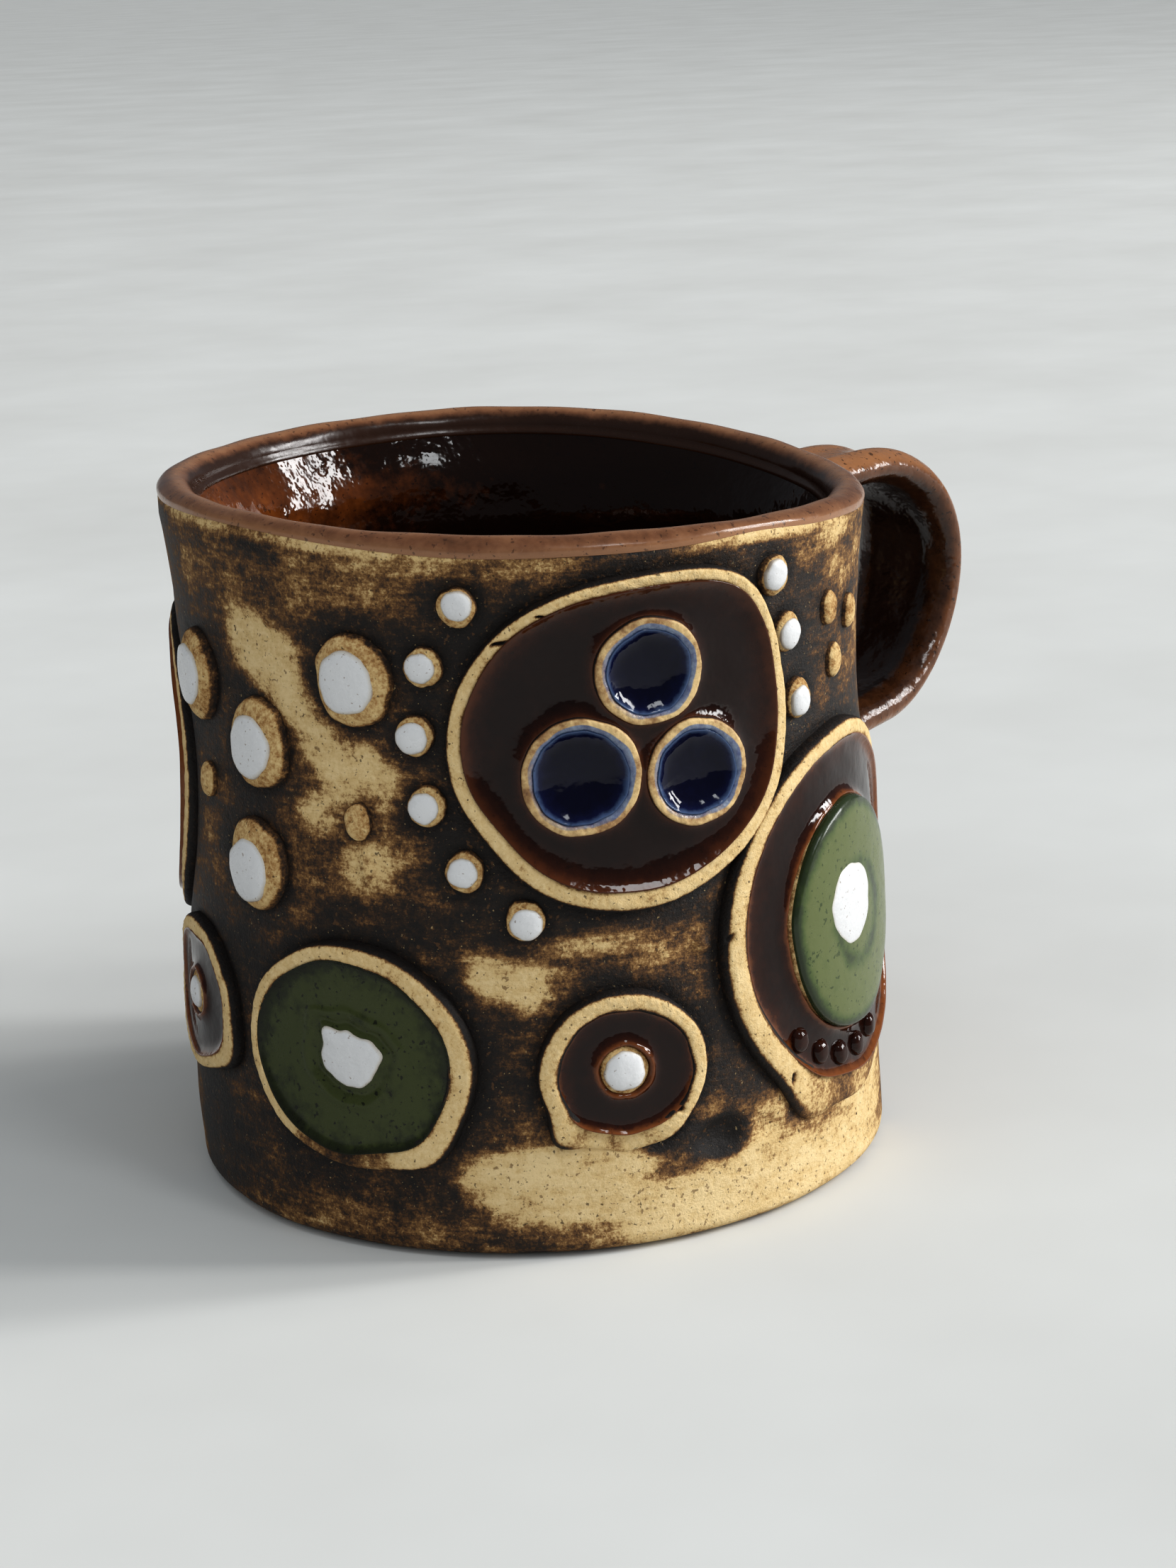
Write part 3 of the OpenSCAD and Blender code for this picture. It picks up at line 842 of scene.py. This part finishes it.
def handle_path(high):
    """The middle line of the strap, as x and z, from its upper to its lower joint."""
    bend_x = high.x / MM - EDGE_T - LOOP_R - 1.2
    bend_z = high.z / MM - EDGE_T - LOOP_R + 0.25
    root_x = OUTER_RADIUS - 2.4
    path = []
    for share in np.linspace(0, 1, 28)[:-1]:
        path.append((root_x + share * (bend_x - root_x), bend_z + LOOP_R - 0.5 * (1 - share) ** 2))
    for bend in np.radians(np.linspace(90, -82, 100)):
        reach = 18.2 * np.cos(bend) + 1.45 * np.sin(2 * bend)
        path.append((bend_x + reach, bend_z + LOOP_R * np.sin(bend)))
    end_x, end_z = path[-1]
    for share in np.linspace(0, 1, 34)[1:]:
        path.append((end_x + share * (root_x - end_x), end_z - 3.4 * share + 0.9 * share ** 2))
    return np.array(path)


def make_handle():
    """A wide strap with two thick edges, bent to a loop and joined to the wall."""
    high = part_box("handle_strap")[1]
    edge = high.y / MM - EDGE_T - 0.15
    path = handle_path(high)
    along = np.gradient(path, axis=0)
    along /= np.linalg.norm(along, axis=1)[:, None]
    spokes = 84
    around = np.linspace(0, 2 * np.pi, spokes, endpoint=False)
    c, s = np.cos(around), np.sin(around)
    # Across the strap and through it: thick round edges with a dished middle
    across = 0.7 + (edge + 0.7) * np.sign(c) * np.abs(c) ** 0.7 + EDGE_T * c
    middle = np.exp(-((across - 0.7) / (edge * 0.80)) ** 4)
    through = EDGE_T * np.sign(s) * np.abs(s) ** 0.88 * (1 - 0.34 * middle)
    far_edge = smooth(-edge, edge, across)
    # Painted light and shade: the glaze is drawn paler on the strap's outer side and deeper on its inner
    # side, darkest across the web between the edges, where the inside of the loop lies in shade.
    outside = 0.40 * smooth(-0.2, 1.6, through)
    inside = 0.55 * smooth(-0.6, -1.6, through) * (0.3 + 0.7 * middle)
    rows = []
    for share, (x, z), (along_x, along_z) in zip(np.linspace(0, 1, len(path)), path, along):
        spread = 1 + 0.30 * smooth(0.10, 0, share) + 0.25 * smooth(0.92, 1, share)
        swell = 1 + 0.04 * np.sin(9 * share + 1) + 0.025 * np.sin(27 * share)
        uneven = 1 + 0.035 * np.sin(3 * around + 7 * share) + 0.025 * np.sin(5 * around - 13 * share)
        closer = 3.0 * far_edge * np.exp(-((share - 0.52) / 0.20) ** 2)
        rise = through * swell * uneven * spread
        row_x = x - rise * along_z - closer
        row_y = 0.3 * np.sin(5 * share) + across * spread
        rows.append(np.stack([row_x, row_y, z + rise * along_x], -1))
    shape = Shape()
    shape.add(np.array(rows), grid_faces(len(rows), spokes, False, True),
              thin=np.tile(0.34 + outside - inside, len(rows)))
    shape.close_ends(spokes)
    return shape.make("handle", HANDLE_GLAZE, ["handle_strap"])


# ---- relief pieces

def make_ring(name, medallion, node, material, notches=(), lean=1.0):
    """A flattened clay band that follows the medallion's outline.

    A lean below 1 moves its top outwards. Notches are (degrees round, first and last share of the
    band, width in degrees).
    """
    spot = medallion.spot
    spokes = int(max(130, 3.14 * (spot.half_w + spot.half_h) / 0.22))
    across = 20
    angle = np.linspace(0, 2 * np.pi, spokes, endpoint=False)
    share = (0.5 - 0.5 * np.cos(np.pi * np.linspace(0, 1, across)))[:, None]
    crown = np.maximum(1 - np.abs(2 * share ** lean - 1) ** 3.6, 0) ** 0.5
    level = medallion.height * (1 + ripple(angle, 70 + medallion.seed, 0.05))
    bare = 0 * angle
    for where, width, sink in medallion.faded:
        level = level * (1 - sink * bell(angle, where, width))
        bare = bare + sink * bell(angle, where, width)
    lift = level * crown + crown * 0.05 * np.sin(41 * angle + 9 * share) * np.sin(17 * angle)
    stain = 0.30 * smooth(0.60, 0.95, share) * (1 + np.sin(7 * angle + 4 * share) * np.sin(3 * angle + 1))
    worn = 0.05 + 0.74 * smooth(0.70, 0.97, crown) - stain
    bare_tone = medallion.bare_tone + 0.10 * np.sin(13 * angle + 2)
    worn = worn + (bare_tone - worn) * smooth(0.15, 0.5, bare) * (share < 0.85)
    for notch, start, end, width in notches:
        cut = bell(angle + 0.12 * (share - 0.5), notch, width)
        cut = cut * smooth(start - 0.08, start + 0.08, share) * smooth(end + 0.08, end - 0.08, share)
        lift = lift - 0.8 * cut * crown
        worn = worn - 0.9 * cut
    lift = np.where(crown < 1e-6, -SUNK, lift)
    turn, z = spot.place(medallion.edge(angle) - share * medallion.band(angle), angle)
    under = [at(turn[row], z[row], -0.9)[None] for row in (-1, 0)]
    points = np.concatenate([at(turn, z, lift), *under])
    glazed = smooth(0.34, 0.55, share + 0.06 * np.sin(5 * angle)) * (0.75 + 0.25 * np.cos(angle - 0.7))
    none = np.zeros((len(under), spokes))
    shape = Shape()
    shape.add(points, grid_faces(len(points), spokes, True, True),
              worn=np.concatenate([worn, none]).ravel(), glazed=np.concatenate([glazed, none]).ravel())
    return shape.make(name, material, [node])


def oval(radius, wide, tall, seed, rough):
    """The outline of an uneven oval, as its reach by the angle."""
    def reach(angle):
        even = radius * np.hypot(wide * np.cos(angle), tall * np.sin(angle))
        return even + ripple(angle, seed, rough * radius)
    return reach


def crowned(level, rise, power, drop=0.3):
    """A flat top that rounds off to its edge, where it drops into the clay."""
    def height(share, angle):
        return level + rise * np.maximum(1 - share ** power, 0) ** 0.5 - drop * (share >= 1)
    return height


def edged(middle, rim, start, end=1.0):
    """A value that goes from the middle's to the rim's, between two shares of the way out."""
    def value(share, angle):
        return middle + (rim - middle) * smooth(start, end, share)
    return value


def pellet_height(radius):
    return 0.18 * radius + 0.65


def dome(share, height):
    return height * np.maximum(1 - share ** 3.4, 0) ** 0.55


def make_pellets(name, spots, node, seed, material=PELLET_CLAY, tall=1.0, value="worn", lift=0, level=0.70):
    """Domed lumps of clay, one for each spot."""
    shape = Shape()
    for i, spot in enumerate(spots):
        radius = spot.half_w

        def top(share, angle):
            return dome(share, pellet_height(radius) + lift) - 0.5 * (share >= 1)

        outline = oval(radius, 0.96, tall, seed + i, 0.035)
        disc_on_wall(shape, spot, outline, top, 18, 64, **{value: edged(level, 0.35 * level, 0.90)})
    return shape.make(name, material, [node])


def make_caps(name, spots, caps, node, seed, tall=1.0, slip=1.0):
    """White glaze puddles on the pellets, each slipped a little to one side."""
    draw = np.random.default_rng(SEED + seed)
    shape = Shape()
    for i, (spot, cap) in enumerate(zip(spots, caps)):
        radius = spot.half_w
        reach = cap.half_w * draw.uniform(1.04, 1.14)
        cap.turn -= slip * draw.uniform(-0.4, 1) * radius * 0.14 / cap.radius
        cap.z -= slip * draw.uniform(-0.6, 1) * radius * 0.12

        def top(share, angle):
            below = dome(np.minimum(share * reach / radius, 0.97), pellet_height(radius))
            return below + 0.45 * np.maximum(1 - share ** 2.5, 0) ** 0.6 - 0.2 * (share >= 1)

        outline = oval(reach, 1.0, tall, seed + i, 0.03)
        disc_on_wall(shape, cap, outline, top, 18, 64, thin=edged(0.10, 0.85, 0.80))
    return shape.make(name, WHITE, [node])


def make_pool(name, medallion, node, material, level, dish=0.0, bumps=(), step=None, climb=0.7,
              fillet=0.55, skirt=0.6):
    """Glaze lying inside a ring.

    It climbs the ring by climb mm over about fillet mm, and climbs each bump over about skirt mm.
    A step is a puddle with a dip and a low wave round it.
    """
    spot = medallion.spot
    size = max(spot.half_w, spot.half_h)

    def edge(angle):
        return medallion.edge(angle) - medallion.band(angle) * 0.80

    def height(share, angle):
        reach = edge(angle)
        turn, z = spot.place(share * reach, angle)
        lift = level + climb * np.exp(-((1 - share) * reach / fillet) ** 1.2) + dish * share ** 2.2
        lift = lift + 0.10 * lumps(turn * 2, z * 2)
        if step:
            gap = step.clearance(turn, z)
            lift = lift - 0.30 * np.exp(-((gap - 0.8) / 0.55) ** 2)
            lift = lift + 0.20 * np.exp(-((gap - 2.2) / 0.6) ** 2)
        for bump in bumps:
            gap = bump.clearance(turn, z)
            lift = lift + 0.75 * np.exp(-np.abs(gap) / skirt)
            lift = lift - (lift - 0.05) * smooth(-0.35, -0.75, gap)
        return lift

    def thin(share, angle):
        reach = edge(angle)
        turn, z = spot.place(share * reach, angle)
        amount = 0.85 * np.exp(-(1 - share) * reach / (0.06 * size + 0.25))
        for bump in bumps:
            amount = np.maximum(amount, 0.75 * np.exp(-np.abs(bump.clearance(turn, z)) / 0.7))
        return amount

    shape = Shape()
    rings, spokes = int(max(24, size / 0.24)), int(max(96, size * 15))
    disc_on_wall(shape, spot, edge, height, rings, spokes, thin=thin)
    return shape.make(name, material, [node])


def make_puddle(name, puddle, node, level, rise):
    """A white puddle of glaze that lies on another."""
    shape = Shape()
    disc_on_wall(shape, puddle.spot, puddle.edge, crowned(level, rise, 3.5), 24, 96,
                 thin=edged(0.08, 0.78, 0.85))
    return shape.make(name, WHITE, [node])


def kiwi_flesh(share, angle):
    """How thin the green glaze lies: a pale ring round the heart, and a dark edge."""
    return 0.9 * smooth(0.84, 1.0, share) + 0.55 * np.exp(-((share - 0.42) / 0.09) ** 2)


def make_kiwi():
    """The brown band, the clay disc in it, and the green glaze, white heart and seeds."""
    disc = Round(patch("kiwi_disc"), rough=0.12)
    make_pool("kiwi-band", MEDALLIONS["kiwi"], "kiwi_band_glaze", RED_BROWN, 0.5, bumps=[disc], climb=0.8)
    shape = Shape()
    disc_on_wall(shape, disc.spot, disc.edge, crowned(0, 2.0, 12, drop=0.4), 34, 200,
                 worn=edged(0.62, 0.50, 0.95, 0.985))
    shape.make("kiwi-disc", RELIEF, ["kiwi_disc"])
    green = Round(patch("kiwi_green_glaze"), grow=0.7, rough=0.14)
    shape = Shape()
    disc_on_wall(shape, green.spot, green.edge, crowned(1.85, 0.6, 7), 44, 200, thin=kiwi_flesh)
    shape.make("kiwi-green", PALE_GREEN, ["kiwi_green_glaze"])
    heart = Round(patch("kiwi_heart"), seed=62, rough=0.16, bulges=((-30, 20, 0.2),))
    make_puddle("kiwi-heart", heart, "kiwi_heart", 2.25, 0.5)
    make_pellets("kiwi-seeds", islands("kiwi_seeds"), "kiwi_seeds", 180, RED_BROWN, tall=1.15,
                 value="thin", lift=0.55, level=0.3)


def make_relief():
    """Every ring, pool, pellet and cap on the wall."""
    notches = {
        "berry": ((139, 0.3, 0.75, 0.9), (124, 0.55, 0.8, 0.7)),
        "eye": ((-40, 0.6, 0.9, 2.0),),
        "kiwi": ((172, 0.1, 0.3, 1.0), (-131, 0.3, 0.5, 1.0)),
    }
    for name, medallion in MEDALLIONS.items():
        make_ring(name + "-ring", medallion, name + "_ring", RELIEF, notches=notches.get(name, ()))
    for side, berry in BERRIES.items():
        make_ring(f"berry-{side}-ring", berry, f"berry_{side}_ring", BERRY_CLAY, lean=0.62)
        make_pool(f"berry-{side}-pool", berry, f"berry_{side}_pool", COBALT, 0.25, dish=0.5, climb=1.1,
                  fillet=1.3)
    make_pool("berry-field", MEDALLIONS["berry"], "berry_field_glaze", FIELD_GLAZE, 0.45,
              bumps=list(BERRIES.values()), climb=1.25, fillet=1.25, skirt=1.3)
    heart = Round(patch("shield_heart"), seed=61, rough=0.16,
                  bulges=((137, 14, 1.3), (8, 14, 0.5), (-85, 25, 0.2), (60, 25, -0.5)))
    make_pool("shield-pool", MEDALLIONS["shield"], "shield_pool", DARK_GREEN, 0.75, step=heart)
    make_puddle("shield-heart", heart, "shield_heart", 0.75, 0.45)
    for name in ("eye", "bead", "back"):
        spot = patch(name + "_pellet")
        make_pool(name + "-pool", MEDALLIONS[name], name + "_pool", RED_BROWN, 0.5, bumps=[Round(spot)])
        make_pellets(name + "-pellet", [spot], name + "_pellet", 90)
        make_caps(name + "-cap", [spot], [patch(name + "_cap")], name + "_cap", 95, slip=0.1)
    make_pool("moon-pool", MEDALLIONS["moon"], "moon_pool", RED_BROWN, 0.6)
    make_kiwi()
    for seed, (name, tall) in enumerate((("arc", 1.0), ("row", 1.05), ("button", 1.12))):
        spots = PELLETS[name]
        make_pellets(name + "-pellets", spots, name + "_pellets", 100 + 10 * seed, tall=tall)
        make_caps(name + "-caps", spots, islands(name + "_caps"), name + "_caps", 140 + 10 * seed, tall)
    make_pellets("bare-pellets", PELLETS["bare"], "bare_pellets", 170, tall=1.25)


make_wall()
make_base()
make_liner()
make_rim()
make_handle()
make_relief()


# ---- stage, light and camera

def from_camera_frame(right, away, up):
    """Turns a place given as right of, away from and above the camera's line into the row frame."""
    c, s = math.cos(-HANDLE_TO_CAMERA), math.sin(-HANDLE_TO_CAMERA)
    return Vector((right * c - away * s, right * s + away * c, up))


def make_floor():
    """The plain pale floor, wide enough to be the backdrop too."""
    paint = Paint("floor", Roughness=0.9, Specular_IOR_Level=0.0)
    soft = paint.noise(9, 4, 0.6)
    paint.finish(paint.mix(soft, srgb(192, 192, 189), srgb(214, 215, 213)))
    bpy.ops.mesh.primitive_plane_add(size=120, location=(0, 0, 0))
    floor = bpy.context.object
    floor.name = "floor"
    floor.data.materials.append(paint.material)


def add_light(name, kind, place, strength, colour, glossy=True):
    """A light aimed at the mug; one that is not glossy does not show in the glaze."""
    light = bpy.data.lights.new(name, kind)
    light.energy = strength
    light.color = colour
    lamp = bpy.data.objects.new(name, light)
    lamp.location = from_camera_frame(*place)
    lamp.rotation_mode = "QUATERNION"
    lamp.rotation_quaternion = (Vector((0, 0, 0.045)) - lamp.location).to_track_quat("-Z", "Y")
    lamp.visible_glossy = glossy
    bpy.context.scene.collection.objects.link(lamp)
    return light


def window(name, place, width, height, power, colour=(1, 1, 1)):
    """A bright pane that shows in the glaze."""
    light = add_light(name, "AREA", place, power, colour)
    light.shape = "RECTANGLE"
    light.size, light.size_y = width, height


def make_light():
    """Tall windows and a soft sun on the right, a small window and open sky in front."""
    world = bpy.data.worlds.new("studio")
    world.use_nodes = True
    background = world.node_tree.nodes["Background"]
    background.inputs["Color"].default_value = (0.86, 0.92, 1.0, 1)
    background.inputs["Strength"].default_value = 0.16
    bpy.context.scene.world = world
    window("window_left", (3.30, -0.22, 1.36), 0.36, 1.9, 46)
    window("window_right", (3.20, 0.57, 1.36), 0.36, 1.9, 46)
    window("front_window", (0.55, -0.6, 1.0), 0.22, 0.22, 1.6, (0.95, 0.98, 1.0))
    add_light("key", "SUN", (0.85, 0.12, 0.62), 1.0, (1.0, 0.98, 0.95), False).angle = math.radians(26)
    add_light("sky", "SUN", (0.1, -0.7, 0.75), 1.5, (0.95, 0.98, 1.0), False).angle = math.radians(130)
    view = bpy.context.scene.view_settings
    view.view_transform = "Standard"
    view.look = "Medium High Contrast"


def make_camera():
    """The photographed view: from the front, the handle behind on the right, rolled a little."""
    elevation, roll, distance = math.radians(15.1), math.radians(-2.36), 0.4
    aim = from_camera_frame(0.0075, 0, 0.0458)
    back = from_camera_frame(0, -math.cos(elevation), math.sin(elevation))
    right = from_camera_frame(1, 0, 0)
    up = back.cross(right)
    rolled_right = right * math.cos(roll) + up * math.sin(roll)
    rolled_up = up * math.cos(roll) - right * math.sin(roll)
    data = bpy.data.cameras.new("camera")
    data.lens = 72
    data.clip_start = 0.01
    camera = bpy.data.objects.new("camera", data)
    turn = Matrix((rolled_right, rolled_up, back)).transposed()
    camera.matrix_world = Matrix.Translation(aim + back * distance) @ turn.to_4x4()
    bpy.context.scene.collection.objects.link(camera)
    bpy.context.scene.camera = camera


make_floor()
make_light()
make_camera()
